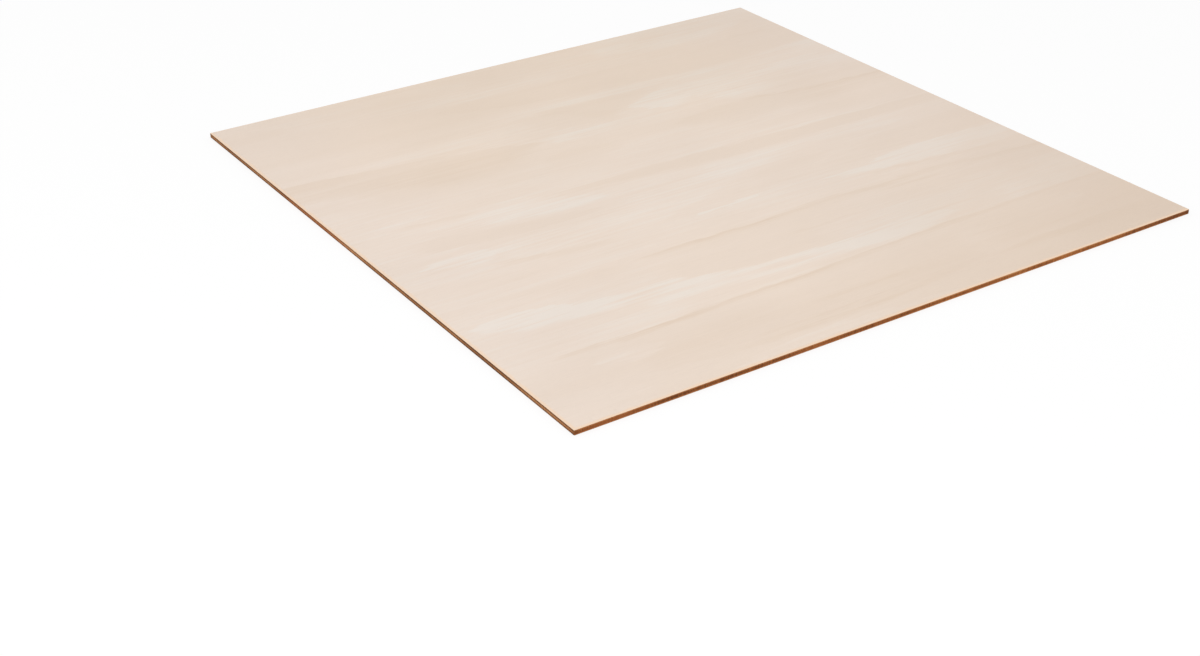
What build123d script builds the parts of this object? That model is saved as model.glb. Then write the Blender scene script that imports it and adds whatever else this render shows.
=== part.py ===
"""Plywood sheet: a thin square board of cross-laid wood veneers, pressed and cut as one piece.

The frame: the origin is under the middle of the board, on the surface that it lies on.
+X runs along the grain of the face veneer, +Y across it, and +Z up through the face.
"""

import os

from build123d import *

# Outline of the board as cut, in millimetres
sheet_length = 300.0    # along the grain of the face and back veneers
sheet_width = 300.0     # across that grain
corner_radius = 0.3     # plan radius that the cut leaves at each corner
arris_ease = 0.1        # narrow bevel along the upper and lower arrises

# Lay-up of the board, in millimetres, with the board's thickness as its sum
back_veneer = 0.5       # lower veneer, grain along X
core_veneer = 0.9       # middle veneer, grain along Y
face_veneer = 0.5       # upper veneer, grain along X
glue_line = 0.05        # each glue film, as it shows between the veneers at a cut edge
glue_recess = 0.04      # how far the cut burns a glue film back from the veneers

# Each course from the floor up: its thickness, and how far its edge stands back
courses = [
    (back_veneer, 0),
    (glue_line, glue_recess),
    (core_veneer, 0),
    (glue_line, glue_recess),
    (face_veneer, 0),
]

with BuildPart() as plywood_sheet:
    level = 0
    for thickness, recess in courses:
        with BuildSketch(Plane.XY.offset(level)):
            RectangleRounded(sheet_length - 2 * recess, sheet_width - 2 * recess, corner_radius)
        extrude(amount=thickness)
        level += thickness
    by_height = plywood_sheet.faces().sort_by(Axis.Z)
    chamfer(by_height[0].edges() + by_height[-1].edges(), arris_ease)

plywood_sheet.part.label = "plywood_sheet"

os.makedirs("parts", exist_ok=True)
export_step(plywood_sheet.part, "parts/plywood_sheet.step")
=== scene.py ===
"""Looks of a plywood sheet: pale rotary-cut veneer on both faces, and cut edges browned by heat.

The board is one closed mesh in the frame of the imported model, in metres. X runs along the grain of
the face veneer, Y across it and Z up out of the face. Sizes of the board are in millimetres, as a
maker writes them, and mm turns them into metres.
"""

import math
from collections import namedtuple

import bpy
import numpy as np
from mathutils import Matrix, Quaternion, Vector, noise


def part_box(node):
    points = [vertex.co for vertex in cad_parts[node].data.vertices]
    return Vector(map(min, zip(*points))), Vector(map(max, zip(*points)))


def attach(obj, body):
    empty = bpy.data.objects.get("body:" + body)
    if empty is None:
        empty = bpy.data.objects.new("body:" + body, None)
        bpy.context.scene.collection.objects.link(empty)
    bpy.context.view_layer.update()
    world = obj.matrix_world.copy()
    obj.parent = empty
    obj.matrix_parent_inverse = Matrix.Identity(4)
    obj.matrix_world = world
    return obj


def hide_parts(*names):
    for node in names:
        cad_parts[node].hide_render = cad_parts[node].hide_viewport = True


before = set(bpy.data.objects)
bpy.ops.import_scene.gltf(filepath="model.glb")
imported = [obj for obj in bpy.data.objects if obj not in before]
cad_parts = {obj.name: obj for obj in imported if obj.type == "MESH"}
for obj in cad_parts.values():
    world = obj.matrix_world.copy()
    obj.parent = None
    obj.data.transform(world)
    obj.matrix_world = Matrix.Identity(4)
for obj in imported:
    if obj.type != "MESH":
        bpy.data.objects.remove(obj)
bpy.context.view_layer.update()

mm = 0.001
_, board_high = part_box("plywood_sheet")
half_length = board_high.x / mm
half_width = board_high.y / mm
board_thickness = board_high.z / mm

# Lay-up of the board at a cut edge, from the floor up
back_veneer = 0.5
core_veneer = 0.9
glue_line = 0.05
glue_recess = 0.04
core_low = back_veneer + glue_line
core_high = core_low + core_veneer
face_low = core_high + glue_line

# Cut outline and the mesh along it
side_count = 4
corner_radius = 0.3
corner_columns = 4
column_pitch = 0.6
arris_ease = 0.1
arris_knee = 0.03
rim_width = 0.25
glue_slope = 0.01

# Grids of the two broad faces, along and across the grain
grid_margin = 1.2
face_pitch = (4.0, 1.0)
back_pitch = (6.0, 2.0)

# Relief: its depth, the length and width of its waves, and a seed
Relief = namedtuple("Relief", "depth length width seed")
face_reliefs = [Relief(0.02, 85, 33, 2.0), Relief(0.012, 38, 3.2, 5.0)]
back_reliefs = [Relief(0.02, 75, 41, 23.0), Relief(0.015, 44, 4.1, 29.0)]
edge_ripples = Relief(0.018, 1.7, 9, 3.1)
edge_pits = Relief(0.016, 0.9, 0.3, 7.0)
edge_furrows = Relief(0.014, 14, 0.16, 11.0)

# Places of the board's sides on its bake map
bake_map = "OFBake"
face_island = ((0.01, 0.01), (0.60, 0.87))
back_island = ((0.62, 0.01), (0.99, 0.87))
strip_start, strip_pitch, strip_height = 0.885, 0.027, 0.022

# The three finishes, in the order of the board's material slots
face_side, cut_side, back_side = 0, 1, 2


# Mesh of the board

Board = namedtuple("Board", "verts faces sides spots")


def wave(*place):
    """Smooth noise between 0 and 1 at a place given in wave lengths."""
    return 0.5 + 0.5 * max(-1.0, min(1.0, noise.noise(Vector(place))))


def depth_at(relief, along, across):
    """Depth of a relief at a place along and across the grain."""
    return relief.depth * wave(along / relief.length, across / relief.width, relief.seed)


def sanded_depth(side, x, y):
    """How far a broad side lies under its highest point: a slow swell and the raised grain. The
    back was sanded less evenly."""
    reliefs = face_reliefs if side == face_side else back_reliefs
    return sum(depth_at(relief, x, y) for relief in reliefs)


def cut_depth(place, side, height):
    """How far the heat of the cut has eaten into the edge there: ripples over the full height,
    pits in plies that show end grain, long furrows in the others."""
    long_side = side % 2 == 0
    run = place[0] if long_side else place[1]
    in_core = core_low <= height <= core_high
    ripple_place = run / edge_ripples.length, edge_ripples.seed + side, height / edge_ripples.width
    grain = edge_pits if in_core == long_side else edge_furrows
    return edge_ripples.depth * wave(*ripple_place) + depth_at(grain, run, height)


def outline():
    """The cut outline, anticlockwise from the middle of the corner at -X -Y: places, outward
    directions and the way round, which grows by 1 along each side."""
    columns = round(2 * (half_length - corner_radius) / column_pitch)
    half_corner = corner_columns // 2
    turn = math.radians(45)
    places, directions, ways = [], [], []
    for side in range(side_count):
        start = math.radians(-90 + 90 * side)
        out = np.array([math.cos(start), math.sin(start)])
        along = np.array([-math.sin(start), math.cos(start)])
        reach, run = (half_width, half_length) if side % 2 == 0 else (half_length, half_width)
        reach -= corner_radius
        run -= corner_radius
        spots = [(-run, -turn + turn * step / half_corner) for step in range(half_corner)]
        spots += [(-run + 2 * run * step / columns, 0.0) for step in range(columns + 1)]
        spots += [(run, turn * step / half_corner) for step in range(1, half_corner)]
        for index, (shift, angle) in enumerate(spots):
            direction = math.cos(angle) * out + math.sin(angle) * along
            places.append(shift * along + reach * out + corner_radius * direction)
            directions.append(direction)
            ways.append(side + index / len(spots))
    return np.array(places), np.array(directions), np.array(ways)


def edge_rows():
    """Profile of the cut edge from the face down to the back: set-back and height of each row."""
    top = board_thickness
    ply_middle = (top + face_low) / 2
    upper = [
        (rim_width, top),
        (arris_ease, top),
        (arris_knee, top - arris_knee),
        (0.0, top - arris_ease),
        (0.0, ply_middle),
        (0.0, (ply_middle + face_low) / 2),
        (0.0, face_low + glue_slope),
        (glue_recess, face_low - glue_slope),
        (glue_recess, core_high + glue_slope),
        (0.0, core_high - glue_slope),
        (0.0, core_high - core_veneer / 4),
    ]
    middle = [(0.0, top / 2)]
    lower = [(set_back, top - height) for set_back, height in reversed(upper)]
    return upper + middle + lower


def on_island(island, across, up):
    """Place on the bake map of two shares, from 0 to 1, of an island's width and height."""
    (left, low), (right, high) = island
    return left + (right - left) * across, low + (high - low) * up


def flat_spots(board, side, face):
    """Places on the bake map of the corners of one of a broad side's faces, seen from outside."""
    island, turned = (face_island, 1) if side == face_side else (back_island, -1)
    spots = []
    for corner in face:
        x, y, _ = board.verts[corner]
        spots.append(on_island(island, (1 + turned * x / half_length) / 2, (1 + y / half_width) / 2))
    return spots


def strip_spots(way, way_after, low_share, high_share):
    """Places on the bake map of the corners of one of the cut edge's faces, in its side's strip."""
    side = int(way)
    strip_low = strip_start + strip_pitch * side
    strip = ((face_island[0][0], strip_low), (back_island[1][0], strip_low + strip_height))
    begin, end = way - side, (way_after or side_count) - side
    corners = [(begin, low_share), (end, low_share), (end, high_share), (begin, high_share)]
    return [on_island(strip, *corner) for corner in corners]


def add_edge_verts(board, rows, places, directions, ways):
    """Rows of vertices round the outline, set back by the profile and by what the heat has eaten."""
    for set_back, height in rows:
        on_cut = arris_ease <= height <= board_thickness - arris_ease
        for place, direction, way in zip(places, directions, ways):
            eaten = cut_depth(place, int(way), height) if on_cut else 0.0
            x, y = place - direction * (set_back + eaten)
            board.verts.append((x, y, height))


def add_edge(board, places, directions, ways):
    """The cut edge all round, from the rim of the face down to the rim of the back."""
    rows = edge_rows()
    add_edge_verts(board, rows, places, directions, ways)
    count = len(places)
    last = len(rows) - 2
    for row in range(last + 1):
        side = face_side if row == 0 else back_side if row == last else cut_side
        high, low = row * count, (row + 1) * count
        for column in range(count):
            after = (column + 1) % count
            face = (low + column, low + after, high + after, high + column)
            board.faces.append(face)
            board.sides.append(side)
            if side == cut_side:
                shares = 1 - row / last, 1 - (row - 1) / last
                board.spots.extend(strip_spots(ways[column], ways[after], *shares))
            else:
                board.spots.extend(flat_spots(board, side, face))


def grid_border(columns, rows, first):
    """Vertices round a grid, anticlockwise from -X -Y, each with its way round."""
    last_column, last_row = columns - 1, rows - 1
    sides = [
        [(i, 0, i / last_column) for i in range(last_column)],
        [(last_column, j, 1 + j / last_row) for j in range(last_row)],
        [(last_column - i, last_row, 2 + i / last_column) for i in range(last_column)],
        [(0, last_row - j, 3 + j / last_row) for j in range(last_row)],
    ]
    return [(first + j * columns + i, way) for side in sides for i, j, way in side]


def bridge(outer, inner):
    """Triangles between two closed loops of (vertex, way round), both anticlockwise."""
    outer = outer + [(outer[0][0], outer[0][1] + side_count)]
    inner = inner + [(inner[0][0], inner[0][1] + side_count)]
    triangles = []
    i = j = 0
    while i < len(outer) - 1 or j < len(inner) - 1:
        inner_done = j == len(inner) - 1
        if inner_done or (i < len(outer) - 1 and outer[i + 1][1] <= inner[j + 1][1]):
            triangles.append((outer[i][0], outer[i + 1][0], inner[j][0]))
            i += 1
        else:
            triangles.append((outer[i][0], inner[j + 1][0], inner[j][0]))
            j += 1
    return triangles


def add_broad_face(board, side, ways):
    """The face or the back: a grid with its relief, joined to the rim that the edge begins with."""
    on_top = side == face_side
    pitch = face_pitch if on_top else back_pitch
    x_reach, y_reach = half_length - grid_margin, half_width - grid_margin
    xs = np.linspace(-x_reach, x_reach, round(2 * x_reach / pitch[0]) + 1)
    ys = np.linspace(-y_reach, y_reach, round(2 * y_reach / pitch[1]) + 1)
    columns, rows = len(xs), len(ys)
    rim_first = 0 if on_top else (len(edge_rows()) - 1) * len(ways)
    first = len(board.verts)
    for y in ys:
        for x in xs:
            depth = sanded_depth(side, x, y)
            board.verts.append((x, y, board_thickness - depth if on_top else depth))
    corners = [first + j * columns + i for j in range(rows - 1) for i in range(columns - 1)]
    made = [(a, a + 1, a + columns + 1, a + columns) for a in corners]
    rim = [(rim_first + column, way) for column, way in enumerate(ways)]
    made += bridge(rim, grid_border(columns, rows, first))
    for face in made:
        face = face if on_top else face[::-1]
        board.faces.append(face)
        board.sides.append(side)
        board.spots.extend(flat_spots(board, side, face))


def board_mesh():
    """The board as one closed mesh, with its bake map."""
    board = Board([], [], [], [])
    places, directions, ways = outline()
    add_edge(board, places, directions, ways)
    add_broad_face(board, face_side, ways)
    add_broad_face(board, back_side, ways)
    mesh = bpy.data.meshes.new("plywood_board")
    mesh.from_pydata([(x * mm, y * mm, z * mm) for x, y, z in board.verts], [], board.faces)
    mesh.polygons.foreach_set("material_index", board.sides)
    places_on_map = mesh.uv_layers.new(name=bake_map).data
    places_on_map.foreach_set("uv", np.array(board.spots, np.float32).ravel())
    mesh.shade_smooth()
    return mesh


# Finishes

# The waves of a noise: their sizes along X, Y and Z, a seed, and how many finer waves they carry
Waves = namedtuple("Waves", "sizes seed detail", defaults=[2.0])

# A share that comes in, or dies away, from the start to the end of a mark
Mark = namedtuple("Mark", "start end share")


class Wire:
    """An output of a finish's node tree. Sums on wires and numbers add Math nodes."""

    def __init__(self, finish, socket):
        self.finish = finish
        self.socket = socket

    def math(self, operation, *values):
        return self.finish.add("ShaderNodeMath", {"operation": operation}, dict(enumerate(values)))

    def __add__(self, other):
        return self.math("ADD", self, other)

    __radd__ = __add__

    def __sub__(self, other):
        return self.math("SUBTRACT", self, other)

    def __rsub__(self, other):
        return self.math("SUBTRACT", other, self)

    def __mul__(self, other):
        return self.math("MULTIPLY", self, other)

    __rmul__ = __mul__

    def __truediv__(self, other):
        return self.math("DIVIDE", self, other)

    def __abs__(self):
        return self.math("ABSOLUTE", self)

    def __gt__(self, other):
        return self.math("GREATER_THAN", self, other)

    def __lt__(self, other):
        return self.math("LESS_THAN", self, other)

    def least(self, other):
        return self.math("MINIMUM", self, other)

    def most(self, other):
        return self.math("MAXIMUM", self, other)

    def ramp(self, start, end, low=0.0, high=1.0):
        """low up to start, high from end on, and a smooth change between them."""
        settings = {"interpolation_type": "SMOOTHSTEP", "clamp": True}
        sockets = {0: self, 1: start, 2: end, 3: low, 4: high}
        return self.finish.add("ShaderNodeMapRange", settings, sockets)

    def even_ramp(self, start, end):
        """0 up to start, 1 from end on, and an even change between them."""
        return self.finish.add("ShaderNodeMapRange", {"clamp": True}, {0: self, 1: start, 2: end})

    def rising(self, mark, wander=0.0):
        """A mark's share from its end on, and none before its start. The end may wander."""
        return self.ramp(mark.start, mark.end + wander, 0.0, mark.share)

    def fading(self, mark, wander=0.0):
        """A mark's share up to its start, and none past its end. The end may wander."""
        return self.ramp(mark.start, mark.end + wander, mark.share, 0.0)


class Finish:
    """A node tree, and the ways to add to it."""

    def __init__(self, tree):
        self.tree = tree
        tree.nodes.clear()

    def add(self, kind, settings=None, sockets=None, out=0):
        """Adds a node with its settings, then its sockets' values or wires. Returns one output."""
        node = self.tree.nodes.new(kind)
        for name, value in (settings or {}).items():
            if name == "stops":
                self.set_stops(node.color_ramp, value)
            elif name == "points":
                self.set_points(node.mapping, value)
            else:
                setattr(node, name, value)
        for key, value in (sockets or {}).items():
            if isinstance(value, Wire):
                self.tree.links.new(value.socket, node.inputs[key])
            else:
                node.inputs[key].default_value = value
        return Wire(self, node.outputs[out]) if node.outputs else None

    @staticmethod
    def set_stops(color_ramp, stops):
        for _ in range(len(stops) - 2):
            color_ramp.elements.new(0.5)
        for element, (position, colour) in zip(color_ramp.elements, stops):
            element.position = position
            element.color = (*colour, 1.0)

    @staticmethod
    def set_points(mapping, points):
        drawn = mapping.curves[0].points
        for _ in range(len(points) - 2):
            drawn.new(0.5, 0.5)
        for point, place in zip(drawn, points):
            point.location = place
        mapping.extend = "HORIZONTAL"
        mapping.update()

    def place(self):
        """The board's own coordinates in millimetres, as a vector and its three parts."""
        metres = self.add("ShaderNodeTexCoord", out="Object")
        spot = self.add("ShaderNodeVectorMath", {"operation": "SCALE"}, {0: metres, "Scale": 1 / mm})
        parts = [self.add("ShaderNodeSeparateXYZ", None, {0: spot}, axis) for axis in range(3)]
        return spot, *parts

    def curve(self, x, path):
        """Height at x of a smooth curve through the places of a path, all in millimetres."""
        points = [(a / chart_size + 0.5, b / chart_size + 0.5) for a, b in path]
        share = self.add("ShaderNodeFloatCurve", {"points": points}, {"Value": x / chart_size + 0.5})
        return (share - 0.5) * chart_size

    def grain(self, spot, waves, shift=0.0):
        """Noise about 0, mostly within a quarter, with these waves, from another place by a shift."""
        scale = tuple(1 / size for size in waves.sizes)
        sockets = {0: spot, 1: scale, 2: (waves.seed + shift,) * 3}
        stretched = self.add("ShaderNodeVectorMath", {"operation": "MULTIPLY_ADD"}, sockets)
        sockets = {"Vector": stretched, "Scale": 1.0, "Detail": waves.detail}
        return self.add("ShaderNodeTexNoise", None, sockets) - 0.5

    def blend(self, share, first, second):
        """Colour first, or second where share is 1."""
        settings = {"data_type": "RGBA", "clamp_factor": True}
        pair = [(*c, 1.0) if isinstance(c, tuple) else c for c in (first, second)]
        return self.add("ShaderNodeMix", settings, {0: share, 6: pair[0], 7: pair[1]}, 2)

    def shade(self, colour, level):
        """A colour times a level."""
        return self.add("ShaderNodeVectorMath", {"operation": "SCALE"}, {0: colour, "Scale": level})

    def tint(self, colour, other):
        """A colour times another."""
        return self.add("ShaderNodeVectorMath", {"operation": "MULTIPLY"}, {0: colour, 1: other})

    def browns(self, tone, stops):
        """The colour of a ramp's stops at a tone."""
        return self.add("ShaderNodeValToRGB", {"stops": stops}, {0: tone})

    def wood(self, colour, roughness, height, depth, gloss):
        """The wood's shader, with a bump of that depth in millimetres."""
        sockets = {"Strength": 1.0, "Distance": depth * mm, "Height": height}
        bump = self.add("ShaderNodeBump", None, sockets)
        sockets = {"Base Color": colour, "Roughness": roughness, "Normal": bump}
        sockets["Specular IOR Level"] = gloss
        shader = self.add("ShaderNodeBsdfPrincipled", None, sockets)
        self.add("ShaderNodeOutputMaterial", None, {"Surface": shader})


def new_finish(name):
    material = bpy.data.materials.new(name)
    material.use_nodes = True
    return material, Finish(material.node_tree)


# Growth figure of the veneers

# A flame of the figure lies between two curves that run along the grain, drawn from left to right. Its
# tone, positive where the wood is paler, comes up over the blurs inside them. A growth line is crisp
# along its path, and its tone dies away over the depth below it, or above it where that is negative.
# Both fade out at each end, and those that run off the board end outside it.
Flame = namedtuple("Flame", "tone blurs upper lower fades", defaults=[(4, 4)])
GrowthLine = namedtuple("GrowthLine", "tone depth path fades", defaults=[(12, 12)])
chart_size = 400.0
line_softness = 0.7
layer_size = 16
layer_bend = 0.3

face_flames = [
    # Pale flames
    Flame(1.0, (1.2, 5),
          [(-146, -72), (-135, -69.5), (-112, -72), (-92, -78.5), (-62, -81), (-33, -88), (20, -91),
           (62, -92.5), (76, -98)],
          [(-146, -75), (-135, -83), (-105, -89), (-80, -95.5), (-45, -99), (-5, -103), (50, -104),
           (76, -98)]),
    Flame(0.15, (3, 1),
          [(-125, -84), (-60, -94), (40, -104)],
          [(-125, -100), (-60, -105), (40, -104.5)], (12, 12)),
    Flame(0.35, (1.5, 1.5),
          [(21, 71), (40, 77.5), (58, 86), (95, 89.5), (170, 96)],
          [(21, 70), (33, 61), (55, 56.5), (76, 49), (110, 52), (170, 49)]),
    Flame(0.75, (1.5, 1.5), [(21, 71), (40, 77.5), (58, 86)], [(21, 70), (33, 61), (58, 56)], (2, 24)),
    Flame(0.4, (2, 2), [(56, 64), (66, 67), (78, 58)], [(56, 61), (66, 53.5), (78, 52)]),
    Flame(0.2, (8, 2),
          [(-170, 99), (-80, 92), (-40, 77), (5, 64), (50, 54)],
          [(-170, 77), (-105, 73), (-50, 65), (-28, 54), (0, 48), (50, 44)], (4, 20)),
    Flame(0.35, (4, 3), [(-32, 62), (-15, 66), (10, 62)], [(-32, 54), (-15, 48), (10, 48)], (8, 10)),
    Flame(0.4, (6, 6),
          [(-170, 60), (-135, 58), (-115, 46)],
          [(-170, 38), (-130, 36), (-115, 40)], (4, 10)),
    Flame(0.6, (3, 3),
          [(-122, 7), (-105, 10), (-85, 12), (-72, 15), (-58, 7), (-38, -3)],
          [(-122, 5.5), (-105, 2), (-82, -5), (-58, -8), (-38, -6)]),
    Flame(0.75, (1.5, 1.5),
          [(-138, -20.5), (-128, -17.3), (-112, -16.8), (-103, -20)],
          [(-138, -21), (-128, -26), (-108, -29), (-103, -25)]),
    Flame(0.3, (4, 2),
          [(-110, -18), (-70, -17), (-25, -10), (30, -6)],
          [(-110, -29), (-80, -37), (-50, -40.5), (-20, -34), (30, -18)], (10, 20)),
    Flame(1.4, (0.5, 0.5),
          [(-22, -41), (-10, -40), (15, -39.5)],
          [(-22, -41.6), (-10, -42), (15, -40.8)]),
    Flame(0.5, (1.2, 1.2),
          [(42, -43.5), (56, -41), (74, -40.5), (83, -37.5), (110, -36), (170, -39)],
          [(42, -44), (60, -46.5), (85, -50), (112, -53), (170, -57)]),
    Flame(0.45, (1.2, 1.2),
          [(42, -43.5), (56, -41), (74, -40.5), (83, -37.5), (125, -37)],
          [(42, -44), (60, -46.5), (85, -50), (125, -54)], (2, 24)),
    Flame(0.6, (1.5, 2),
          [(-122, -117), (-114, -113.5), (-104, -113.5), (-92, -118)],
          [(-122, -117.5), (-114, -122), (-102, -124.5), (-92, -119)]),
    Flame(0.5, (2, 2), [(97, -97), (103, -92), (109, -96)], [(97, -99), (103, -102), (109, -98)]),
    Flame(0.6, (1.5, 1),
          [(121, -98.5), (127, -95.5), (170, -97)],
          [(121, -99), (127, -101.5), (170, -101.5)]),
    Flame(0.25, (5, 4),
          [(95, -88), (115, -81), (170, -84)],
          [(95, -92), (115, -100), (170, -100)], (10, 10)),
    Flame(0.55, (1, 1),
          [(-82, -147.5), (-60, -143.5), (-40, -142), (0, -145), (25, -147)],
          [(-82, -149), (-40, -154), (25, -150)]),
    Flame(0.3, (5, 5),
          [(-170, -128), (-130, -130), (-112, -138)],
          [(-170, -160), (-130, -156), (-112, -146)]),
    Flame(0.3, (4, 2),
          [(-112, 129), (-80, 127.5), (0, 128), (70, 125)],
          [(-112, 122), (-60, 119), (-35, 116.5), (10, 119), (70, 117)], (15, 15)),
    Flame(0.4, (6, 6), [(42, 138), (75, 143), (125, 136)], [(42, 127), (85, 122), (125, 129)], (10, 10)),
    Flame(0.3, (2, 1), [(-16, 90), (15, 92.5), (58, 87.5)], [(-16, 89), (15, 86.3), (58, 86.5)]),
    Flame(0.25, (1, 4),
          [(-5, -4), (60, -4.2), (127, -5)],
          [(-5, -20), (25, -21), (60, -14), (127, -16)], (15, 15)),
    Flame(0.45, (1.5, 1.5),
          [(114, -113), (119, -110.5), (127, -113)],
          [(114, -114), (119, -117), (127, -114.5)]),
    Flame(0.3, (2.5, 2), [(-136, 21), (-120, 24), (-106, 19)], [(-136, 19), (-120, 17.5), (-106, 16.5)]),
    # Dark flames
    Flame(-0.8, (1.2, 12),
          [(-170, 78), (-128, 76), (-100, 72), (-62, 66), (-44, 62), (-31, 55.5)],
          [(-170, 60), (-120, 49), (-90, 38), (-60, 38), (-31, 54)]),
    Flame(-0.3, (4, 18),
          [(-170, 74), (-100, 70), (-45, 59)],
          [(-170, 40), (-90, 24), (-45, 30)], (8, 14)),
    Flame(-0.4, (5, 5), [(-46, 40), (-25, 46), (-2, 38)], [(-46, 33), (-25, 27), (-2, 32)], (8, 8)),
    Flame(-0.7, (1, 3),
          [(-62, 9), (-40, 10), (0, 9.5), (60, 8), (110, 6.5), (170, 4.5)],
          [(-62, 8), (-40, 4), (0, -1.5), (60, -3.5), (110, -4.5), (170, -5)]),
    Flame(-0.5, (1.2, 8),
          [(-22, 88.5), (0, 86.8), (25, 85.3), (49, 81.5)],
          [(-22, 86), (-4, 71), (10, 61), (22, 68), (40, 76), (49, 80.5)]),
    Flame(-0.3, (5, 9), [(-34, 85), (0, 83), (18, 70)], [(-34, 73), (0, 56), (18, 60)], (12, 6)),
    Flame(-0.4, (3, 2),
          [(-60, 112), (-40, 117), (0, 116.5), (50, 116), (80, 113), (125, 119), (170, 115)],
          [(-60, 110), (-40, 104), (0, 96), (50, 91), (100, 89), (170, 99)], (8, 8)),
    Flame(-0.5, (5, 5),
          [(112, 120), (128, 130), (146, 141)],
          [(112, 118), (128, 112), (146, 118)], (8, 8)),
    Flame(-0.55, (2, 8),
          [(24, 42), (45, 46), (70, 48), (100, 43), (170, 38)],
          [(24, 38), (45, 28), (75, 26), (170, 26)], (8, 8)),
    Flame(-0.55, (2.5, 1.5),
          [(-136, 2), (-120, 0), (-100, -2.5), (-70, -9), (-45, -12)],
          [(-136, -9), (-120, -12.5), (-100, -14.5), (-70, -17), (-45, -14)], (14, 4)),
    Flame(-0.55, (2, 8),
          [(-60, -60), (50, -59), (170, -66)],
          [(-60, -70), (50, -80), (170, -78)], (30, 10)),
    Flame(-0.35, (3, 2),
          [(-132, -56), (-100, -55.5), (-68, -60)],
          [(-132, -61), (-100, -63), (-68, -66)], (10, 10)),
    Flame(-0.5, (1, 1.5),
          [(-112, -107), (-90, -107), (-62, -107)],
          [(-112, -110), (-88, -110.8), (-62, -108.5)], (8, 12)),
    Flame(-0.35, (4, 4), [(18, -23), (48, -17), (68, -20)], [(18, -28), (48, -29), (68, -26)], (8, 8)),
    Flame(-0.35, (4, 1.5),
          [(72, -24), (100, -16), (170, -17)],
          [(72, -30), (100, -36), (170, -38)], (12, 8)),
    Flame(-1.4, (1, 3),
          [(46, -135), (70, -132.3), (110, -132.3), (170, -132.5)],
          [(46, -136), (80, -138), (120, -139.5), (170, -138.5)], (30, 4)),
    Flame(-0.45, (6, 1.5),
          [(-112, -105), (-30, -104), (60, -108)],
          [(-112, -134), (-30, -142), (60, -134)], (15, 15)),
    Flame(-0.5, (1, 1),
          [(113, -120), (119, -118.3), (125, -120.5)],
          [(113, -121), (119, -123), (125, -121.5)]),
    Flame(-0.4, (5, 5),
          [(-170, 143), (-135, 144), (-118, 138)],
          [(-170, 128), (-132, 127), (-118, 130)], (8, 8)),
    # Broad tints
    Flame(-0.3, (12, 10), [(-190, 68), (-60, 64), (90, 52)], [(-190, 34), (-60, 32), (90, 30)], (8, 40)),
    Flame(-0.8, (24, 4),
          [(50, -112), (120, -112), (190, -108)],
          [(50, -170), (120, -170), (190, -170)], (70, 8)),
    Flame(-0.5, (14, 20),
          [(-190, 148), (-60, 126), (10, 112)],
          [(-190, 40), (-60, 78), (10, 92)], (8, 30)),
    Flame(-0.55, (16, 4),
          [(-190, -108), (0, -112), (90, -122)],
          [(-190, -170), (0, -170), (90, -170)], (8, 40)),
    Flame(-0.6, (14, 14), [(80, 62), (130, 66), (190, 66)], [(80, 6), (130, 2), (190, 0)], (30, 8)),
    Flame(-0.5, (8, 4),
          [(-72, -64), (-20, -68), (30, -72)],
          [(-72, -84), (-20, -93), (30, -95)], (20, 30)),
    Flame(-0.3, (6, 6),
          [(-76, -82), (-20, -90), (30, -92)],
          [(-76, -106), (-20, -114), (30, -110)], (20, 30)),
    Flame(0.4, (10, 10),
          [(20, -58), (90, -56), (190, -58)],
          [(20, -88), (90, -108), (190, -112)], (30, 8)),
    Flame(0.5, (12, 12),
          [(40, 160), (110, 170), (190, 170)],
          [(40, 130), (110, 116), (190, 122)], (20, 8)),
]
face_lines = [
    GrowthLine(-1.0, 4, [(-134, 16.5), (-110, 14.3), (-88, 12.5)]),
    GrowthLine(0.5, -3, [(55, 8.3), (110, 6.5), (170, 4.5)]),
    GrowthLine(-1.3, 3.5, [(66, 50), (80, 47), (100, 43), (120, 41.5), (170, 38.5)]),
    GrowthLine(-1.0, 5, [(-113, -32), (-95, -34.5), (-75, -38.2), (-56, -40.5)]),
    GrowthLine(-1.2, 4.5,
               [(-66, -59.5), (-38, -59.2), (-10, -60.5), (25, -58), (60, -59.5), (100, -60),
                (125, -63.5), (170, -68)]),
    GrowthLine(-0.6, 2.5, [(-54, -59.4), (-38, -59.2), (-10, -60.5), (10, -59.4)]),
    GrowthLine(-1.1, 2, [(55, -64.5), (74, -65), (92, -65.2)]),
    GrowthLine(-0.8, 2, [(-5, -76), (45, -76)]),
    GrowthLine(-0.8, 2, [(48, -75.5), (72, -75.2)]),
    GrowthLine(-0.8, 2.5, [(82, -77.5), (114, -79.5)]),
    GrowthLine(-1.6, 4,
               [(-134, -106), (-75, -107), (-40, -106), (0, -105.2), (60, -103.3), (170, -102.5)]),
    GrowthLine(0.5, -2.5, [(-120, -106.3), (-75, -107), (-40, -106), (0, -105.2)]),
    GrowthLine(-0.9, 4, [(60, -48), (90, -51.3), (112, -53.5), (138, -56.5)]),
    GrowthLine(-1.0, 3.5, [(58, -127), (100, -126.5), (170, -122.5)], (20, 12)),
    GrowthLine(0.4, -2, [(46, -135), (70, -132.3), (110, -132.3), (170, -132.5)], (30, 12)),
    GrowthLine(-0.8, 2, [(-82, -132.5), (-20, -134), (15, -134)]),
    GrowthLine(-0.8, 2, [(-62, -137.5), (20, -138.2)]),
    GrowthLine(-0.7, 2, [(-30, -125), (20, -126)]),
    GrowthLine(-0.9, 2, [(60, -117), (72, -118.2), (86, -119)], (6, 6)),
]
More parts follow.
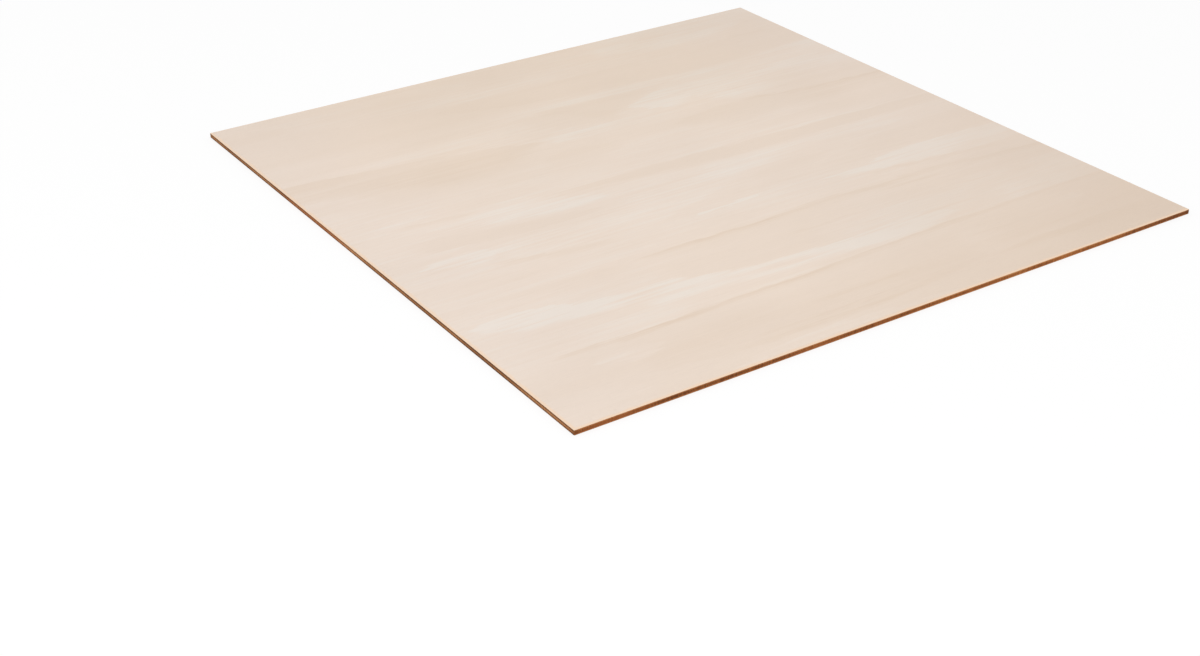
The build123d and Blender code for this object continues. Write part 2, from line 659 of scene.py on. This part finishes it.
back_flames = [
    # Pale flames
    Flame(0.8, (1.5, 5),
          [(-170, 34), (-90, 37), (-10, 30), (40, 25)],
          [(-170, 22), (-90, 24), (-10, 21), (40, 24)]),
    Flame(0.4, (2, 2),
          [(-20, -14), (30, -6), (90, 2), (170, 4)],
          [(-20, -15), (30, -24), (90, -31), (170, -32)]),
    Flame(0.6, (2, 2.5), [(-128, -52), (-80, -48), (-40, -55)], [(-128, -53), (-85, -60), (-40, -57)]),
    Flame(0.35, (5, 3), [(20, 122), (90, 128), (170, 122)], [(20, 118), (90, 110), (170, 112)], (12, 8)),
    # Dark flames
    Flame(-0.5, (1.5, 8),
          [(-170, 96), (-100, 92), (-20, 80), (50, 76)],
          [(-170, 74), (-100, 70), (-20, 68), (50, 75)]),
    Flame(-0.5, (2, 3),
          [(-150, -18), (-90, -16), (-30, -26)],
          [(-150, -28), (-90, -31), (-30, -28)], (12, 6)),
    Flame(-0.45, (4, 6), [(10, 62), (80, 66), (170, 60)], [(10, 56), (80, 46), (170, 44)], (10, 8)),
    Flame(-0.4, (6, 4),
          [(-90, -112), (0, -104), (110, -108)],
          [(-90, -122), (0, -128), (110, -118)], (20, 20)),
]
back_lines = [
    GrowthLine(-1.0, 3.5, [(-90, -70), (0, -74), (80, -71), (170, -76)], (20, 12)),
    GrowthLine(-0.7, 3, [(-170, -92), (-80, -96), (30, -95)], (12, 25)),
    GrowthLine(0.4, -3, [(-170, 96), (-100, 92), (-20, 80), (50, 76)], (12, 25)),
    GrowthLine(-0.6, 3, [(40, 98), (110, 95), (170, 96)]),
    GrowthLine(-0.5, 2, [(-120, 122), (-60, 119), (0, 120)], (20, 20)),
    GrowthLine(-0.5, 2.5, [(60, -130), (170, -127)], (20, 12)),
]


def between_ends(x, path, fades):
    """1 along a path, and less over the fade at each of its ends."""
    start, end = path[0][0], path[-1][0]
    return x.ramp(start, start + fades[0]) * x.ramp(end - fades[1], end, 1.0, 0.0)


def flame_tone(finish, x, y, flame):
    """Tone that one flame gives to a place on the figure."""
    under = finish.curve(x, flame.upper) - y
    over = y - finish.curve(x, flame.lower)
    body = under.ramp(0.0, flame.blurs[0], 0.0, flame.tone) * over.ramp(0.0, flame.blurs[1])
    return body * between_ends(x, flame.upper, flame.fades)


def line_tone(finish, x, y, line):
    """Tone that one growth line gives to a place on the figure."""
    off = y - finish.curve(x, line.path)
    if line.depth > 0:
        off = 0.0 - off
    body = off.ramp(0.0, abs(line.depth), line.tone, 0.0) * off.ramp(-line_softness, line_softness)
    return body * between_ends(x, line.path, line.fades)


def figure(finish, x, y, flames, lines):
    """Tone of the growth figure: above 0 paler, below 0 darker. It grows in layers, each bent a little
    by those before it, so that the renderer works out one layer at a time and has room for it."""
    marks = [(flame_tone, flame) for flame in flames] + [(line_tone, line) for line in lines]
    tone = 0.0
    for number, (drawn, mark) in enumerate(marks):
        if number and number % layer_size == 0:
            x = x + tone * layer_bend
        tone = drawn(finish, x, y, mark) + tone
    return tone


# Veneer of the face and the back

# Colours, as linear red, green and blue
basswood = (0.79, 0.672, 0.578)
# The pale figure's colour: partly the wood's own tone, partly painted sheen of fibres that catch the
# light
basswood_pale_sheen = (0.798, 0.714, 0.638)
basswood_dark = (0.735, 0.60, 0.485)
# Painted shade: the darker colour that stands for light falling off away from the lamp
basswood_shaded = (0.705, 0.572, 0.46)
basswood_warmed = (0.86, 0.64, 0.46)
warm_tint = (1.006, 1.0, 0.978)
cool_tint = (0.997, 1.0, 1.008)

# Noise of the grain: here its waves, and in a finish the wires that carry it
grain_names = "sway shiver feather fingers bands clouds streaks fibres pores mottle uneven"
Grain = namedtuple("Grain", grain_names)
veneer_waves = Grain(
    sway=Waves((42, 26, 40), 0),
    shiver=Waves((11, 4.5, 40), 3),
    feather=Waves((26, 1.1, 40), 4),
    fingers=Waves((60, 1.6, 40), 6),
    bands=Waves((260, 8, 40), 5),
    clouds=Waves((46, 12, 40), 7),
    streaks=Waves((46, 1.7, 40), 9, 3.0),
    fibres=Waves((8, 0.3, 40), 13),
    pores=Waves((2.6, 0.22, 40), 17, 1.0),
    mottle=Waves((75, 48, 40), 21, 1.0),
    uneven=Waves((5, 5, 40), 25),
)
back_shift = 40.0

# How far the noise moves the figure along the grain and across it
finger_run, shiver_run = 18.0, 8.0
sway_lift, shiver_lift, feather_lift = 2.0, 2.5, 4.5

# Tones that the noise gives to the figure and to the wood between its marks
figure_clouds, figure_streaks = 2.2, 2.6
band_tone, cloud_tone, streak_tone = 0.9, 1.3, 1.6
full_pale, full_dark = 1.1, -2.2

# Painted shade: the wood darker towards the corner at +X -Y and towards the side at +Y, where the light
# falls off
shade_right = Mark(70, 290, 0.8)
shade_corner = Mark(225, 300, 0.2)
shade_back = Mark(30, 200, 0.5)
shade_slant = 0.3
shade_wander = 120

# A warmer hue about the middle, more of it towards the side at +Y
blush_middle = Mark(60, 150, 1.0)
blush_start, blush_full, blush_least = -20, 90, 0.4

# Wood warmed by the cut, which ran hotter along the sides at -X and -Y
hot_cut = Mark(0.4, 1.9, 0.85)
cool_cut = Mark(0.2, 1.4, 0.15)
cut_wander = 2.5

# Surface of the sanded wood
open_pore = Mark(0.12, 0.25, 1.0)
fibre_shade, pore_shade, mottle_shade = 0.08, 0.04, 0.08
veneer_roughness, fibre_roughness, pale_polish = 0.62, 0.2, 0.04
fibre_relief, pore_relief, streak_relief = 0.8, 0.5, 0.4
veneer_bump = 0.03
veneer_gloss = 0.3


def veneer_tone(finish, grain, x, y, flames, lines):
    """Tone of the wood: the figure, moved and broken up by the grain's noise, over faint bands."""
    x_grown = x + grain.fingers * finger_run + grain.shiver * shiver_run
    y_grown = y + grain.sway * sway_lift + grain.shiver * shiver_lift + grain.feather * feather_lift
    breaks = 1.0 + grain.clouds * figure_clouds + grain.streaks * figure_streaks
    drawn = figure(finish, x_grown, y_grown, flames, lines) * breaks
    return drawn + grain.bands * band_tone + grain.clouds * cloud_tone + grain.streaks * streak_tone


def painted_falloff_shade(grain, x, y):
    """Share of the painted shade: the wood darker towards the corner at +X -Y and the side at +Y."""
    wander = grain.sway * shade_wander
    to_right = (x - y).rising(shade_right, wander) + (x - y).rising(shade_corner)
    to_back = (x * shade_slant + y).rising(shade_back, wander)
    return to_right.most(to_back)


def cut_warmth(grain, x, y):
    """Share of the wood's warmed colour beside the cut edges."""
    wander = grain.uneven * cut_wander
    hot = (half_length + x).least(half_width + y).fading(hot_cut, wander)
    cool = (half_length - x).least(half_width - y).fading(cool_cut, wander)
    return hot.most(cool)


def veneer(name, flames, lines, shift):
    """Pale sanded veneer with its growth figure, fibres and pores, warmed beside the cut edges."""
    material, finish = new_finish(name)
    spot, x, y, _ = finish.place()
    grain = Grain(*[finish.grain(spot, waves, shift) for waves in veneer_waves])
    pores = grain.pores.rising(open_pore)
    tone = veneer_tone(finish, grain, x, y, flames, lines)
    pale = tone.even_ramp(0.0, full_pale)
    dark = tone.even_ramp(0.0, full_dark)

    # Pale figure, partly the wood's own tone and partly painted sheen
    colour = finish.blend(pale, basswood, basswood_pale_sheen)
    colour = finish.blend(dark, colour, basswood_dark)
    # Painted shade, darker towards the corner at +X -Y and the side at +Y
    colour = finish.blend(painted_falloff_shade(grain, x, y), colour, basswood_shaded)
    level = 1.0 + grain.fibres * fibre_shade - pores * pore_shade + grain.mottle * mottle_shade
    colour = finish.shade(colour, level)
    blush = abs(x).fading(blush_middle) * y.ramp(blush_start, blush_full, blush_least, 1.0)
    colour = finish.tint(colour, finish.blend(blush, cool_tint, warm_tint))
    colour = finish.blend(cut_warmth(grain, x, y), colour, basswood_warmed)

    roughness = veneer_roughness + grain.fibres * fibre_roughness - pale * pale_polish
    relief = grain.fibres * fibre_relief - pores * pore_relief + grain.streaks * streak_relief
    finish.wood(colour, roughness, relief, veneer_bump, veneer_gloss)
    return material


# Cut edge

# Colours, as linear red, green and blue, and browns from dark to light over the tone
# Painted highlight: the pale warm line of light along the arrises
rim_highlight = (0.88, 0.68, 0.50)
edge_char = (0.065, 0.022, 0.007)
edge_red = (0.30, 0.09, 0.026)
end_browns = [
    (0.0, (0.07, 0.024, 0.007)),
    (0.35, (0.15, 0.058, 0.02)),
    (0.65, (0.28, 0.118, 0.042)),
    (1.0, (0.43, 0.21, 0.092)),
]
side_browns = [
    (0.0, (0.12, 0.036, 0.009)),
    (0.35, (0.27, 0.09, 0.024)),
    (0.65, (0.44, 0.165, 0.047)),
    (1.0, (0.60, 0.28, 0.105)),
]

# Noise of the edge: furrows along X and along Y, pits, upright strokes of the cut, patches of browning
EdgeGrain = namedtuple("EdgeGrain", "furrows_x furrows_y pits strokes patches flushes")
edge_waves = EdgeGrain(
    furrows_x=Waves((30, 0.6, 0.14), 2.0),
    furrows_y=Waves((0.6, 30, 0.14), 5.0),
    pits=Waves((0.35, 0.35, 0.3), 9.0),
    strokes=Waves((0.7, 0.7, 30), 13.0),
    patches=Waves((38, 38, 6), 17.0),
    flushes=Waves((80, 80, 12), 25.0),
)

# Tones of the browning, of end grain and of long grain, and the darker ends of the long sides
edge_tone, patch_tone, stroke_tone = 0.56, 1.1, 0.6
end_grain_tone, pit_tone = -0.26, 0.8
long_grain_tone, furrow_tone = 0.1, 0.9
side_middle = 10
side_darkening = Mark(40, 150, 0.13)

# Red flushes, dark glue lines, char at the arrises and corners, and a painted highlight, pale and warm,
# at the very rim
red_flush = Mark(0.0, 0.2, 0.5)
dark_glue = Mark(0.03, 0.075, 0.7)
singed_arris = Mark(0.05, 0.3, 0.4)
singe_wander = 0.3
scorched_corner = Mark(0.3, 2.5, 0.35)
arris_highlight = Mark(0.0, 0.09, 0.7)

# Surface of the cut wood
edge_roughness, pit_roughness, end_grain_polish = 0.75, 0.2, 0.05
stroke_relief = 0.8
edge_bump = 0.04
edge_gloss = 0.12


def edge_browning(finish, grain, x, on_end, end_grain, furrows):
    """Brown of the cut wood: end grain darker than long grain, in patches and upright strokes."""
    tone = edge_tone + grain.patches * patch_tone + grain.strokes * stroke_tone
    on_pores = end_grain * (grain.pits * pit_tone + end_grain_tone)
    on_fibres = (1 - end_grain) * (furrows * furrow_tone + long_grain_tone)
    tone = tone + on_pores + on_fibres - abs(x - side_middle).rising(side_darkening) * (1 - on_end)
    side_brown = finish.browns(tone, side_browns)
    end_brown = finish.browns(tone, end_browns)
    colour = finish.blend(on_end, side_brown, end_brown)
    return finish.blend(grain.flushes.rising(red_flush), colour, edge_red)


def edge_char_and_highlight(finish, grain, x, y, z, colour):
    """Chars a colour of the edge at the glue lines, arrises and corners, and paints a highlight along
    its rim.
    """
    upper_glue = abs(z - (face_low - glue_line / 2)).fading(dark_glue)
    lower_glue = abs(z - (core_low - glue_line / 2)).fading(dark_glue)
    colour = finish.blend(upper_glue.most(lower_glue), colour, edge_char)
    from_arris = z.least(board_thickness - z)
    singe = from_arris.fading(singed_arris, grain.patches * singe_wander)
    colour = finish.blend(singe, colour, edge_char)
    from_corner = (half_length - abs(x)).most(half_width - abs(y))
    colour = finish.blend(from_corner.fading(scorched_corner), colour, edge_char)
    # Painted highlight along both arrises, where the eased rim catches the light
    return finish.blend(from_arris.fading(arris_highlight), colour, rim_highlight)


def cut_edge():
    """Heat-browned cut edge: plies of end grain and long grain in turn, with dark glue lines."""
    material, finish = new_finish("cut_edge")
    spot, x, y, z = finish.place()
    grain = EdgeGrain(*[finish.grain(spot, waves) for waves in edge_waves])
    on_end = abs(x) - (half_length - half_width) > abs(y)
    in_core = (z > core_low) * (z < core_high)
    end_grain = abs(on_end - in_core)
    furrows = grain.furrows_x + on_end * (grain.furrows_y - grain.furrows_x)

    colour = edge_browning(finish, grain, x, on_end, end_grain, furrows)
    colour = edge_char_and_highlight(finish, grain, x, y, z, colour)
    roughness = edge_roughness + grain.pits * pit_roughness - end_grain * end_grain_polish
    relief = grain.strokes * stroke_relief + end_grain * grain.pits + (1 - end_grain) * furrows
    finish.wood(colour, roughness, relief, edge_bump, edge_gloss)
    return material


def board():
    """The dressed board, riding on the part's one body."""
    mesh = board_mesh()
    mesh.materials.append(veneer("face_veneer", face_flames, face_lines, 0.0))
    mesh.materials.append(cut_edge())
    mesh.materials.append(veneer("back_veneer", back_flames, back_lines, back_shift))
    piece = bpy.data.objects.new("plywood_board", mesh)
    bpy.context.scene.collection.objects.link(piece)
    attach(piece, "root")
    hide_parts("plywood_sheet")


# Stage, with its lengths in metres

floor_reach = 20.0
floor_drop = 0.0001
floor_white = 0.96
floor_glow = 0.75
key_place = Vector((-1.8, -1.6, 1.9))
key_size = 1.8
key_watts = 57.0
sky_level = 0.66
camera_place = Vector((-0.4202, -0.5719, 0.3208))
camera_aim = Vector((-0.1046, -0.0974, 0.002))
camera_roll = -0.255
white = (1.0, 1.0, 1.0, 1.0)

# The camera's lens and the width of its film, in millimetres
camera_lens = 54.16
camera_film = 36.0


def seen_directly(finish):
    """1 for rays that show a thing to the eye or in a shiny surface, else 0."""
    names = ("Is Camera Ray", "Is Glossy Ray", "Is Transmission Ray")
    to_eye, to_gloss, through_glass = [finish.add("ShaderNodeLightPath", out=name) for name in names]
    return to_eye.most(to_gloss).most(through_glass)


def floor():
    """White floor, bright to the eye, that still takes the board's shadow."""
    material, finish = new_finish("floor_white")
    lit = finish.add("ShaderNodeBsdfDiffuse", None, {"Color": (floor_white,) * 3 + (1.0,)})
    glow = finish.add("ShaderNodeEmission", None, {"Color": white, "Strength": 1.0})
    share = seen_directly(finish) * floor_glow
    mixed = finish.add("ShaderNodeMixShader", None, {0: share, 1: lit, 2: glow})
    finish.add("ShaderNodeOutputMaterial", None, {"Surface": mixed})
    mesh = bpy.data.meshes.new("floor")
    corners = [(-1, -1), (1, -1), (1, 1), (-1, 1)]
    verts = [(a * floor_reach, b * floor_reach, -floor_drop) for a, b in corners]
    mesh.from_pydata(verts, [], [(0, 1, 2, 3)])
    mesh.materials.append(material)
    ground = bpy.data.objects.new("floor", mesh)
    bpy.context.scene.collection.objects.link(ground)


def sky():
    """Even white light from all round, and a white background."""
    world = bpy.data.worlds.new("studio")
    world.use_nodes = True
    bpy.context.scene.world = world
    finish = Finish(world.node_tree)
    level = seen_directly(finish) * (1.0 - sky_level) + sky_level
    light = finish.add("ShaderNodeBackground", None, {"Color": white, "Strength": level})
    finish.add("ShaderNodeOutputWorld", None, {"Surface": light})


def key_lamp():
    """One broad soft lamp from the left."""
    lamp = bpy.data.lights.new("key", "AREA")
    lamp.shape = "DISK"
    lamp.size = key_size
    lamp.energy = key_watts
    holder = bpy.data.objects.new("key", lamp)
    holder.location = key_place
    holder.rotation_mode = "QUATERNION"
    holder.rotation_quaternion = (-key_place).to_track_quat("-Z", "Y")
    bpy.context.scene.collection.objects.link(holder)


def camera():
    """The photograph's view."""
    lens = bpy.data.cameras.new("camera")
    lens.sensor_width = camera_film
    lens.lens = camera_lens
    eye = bpy.data.objects.new("camera", lens)
    eye.location = camera_place
    eye.rotation_mode = "QUATERNION"
    look = (camera_aim - camera_place).to_track_quat("-Z", "Y")
    eye.rotation_quaternion = look @ Quaternion((0, 0, 1), math.radians(camera_roll))
    bpy.context.scene.collection.objects.link(eye)
    bpy.context.scene.camera = eye


board()
floor()
sky()
key_lamp()
camera()
bpy.context.scene.view_settings.view_transform = "Standard"
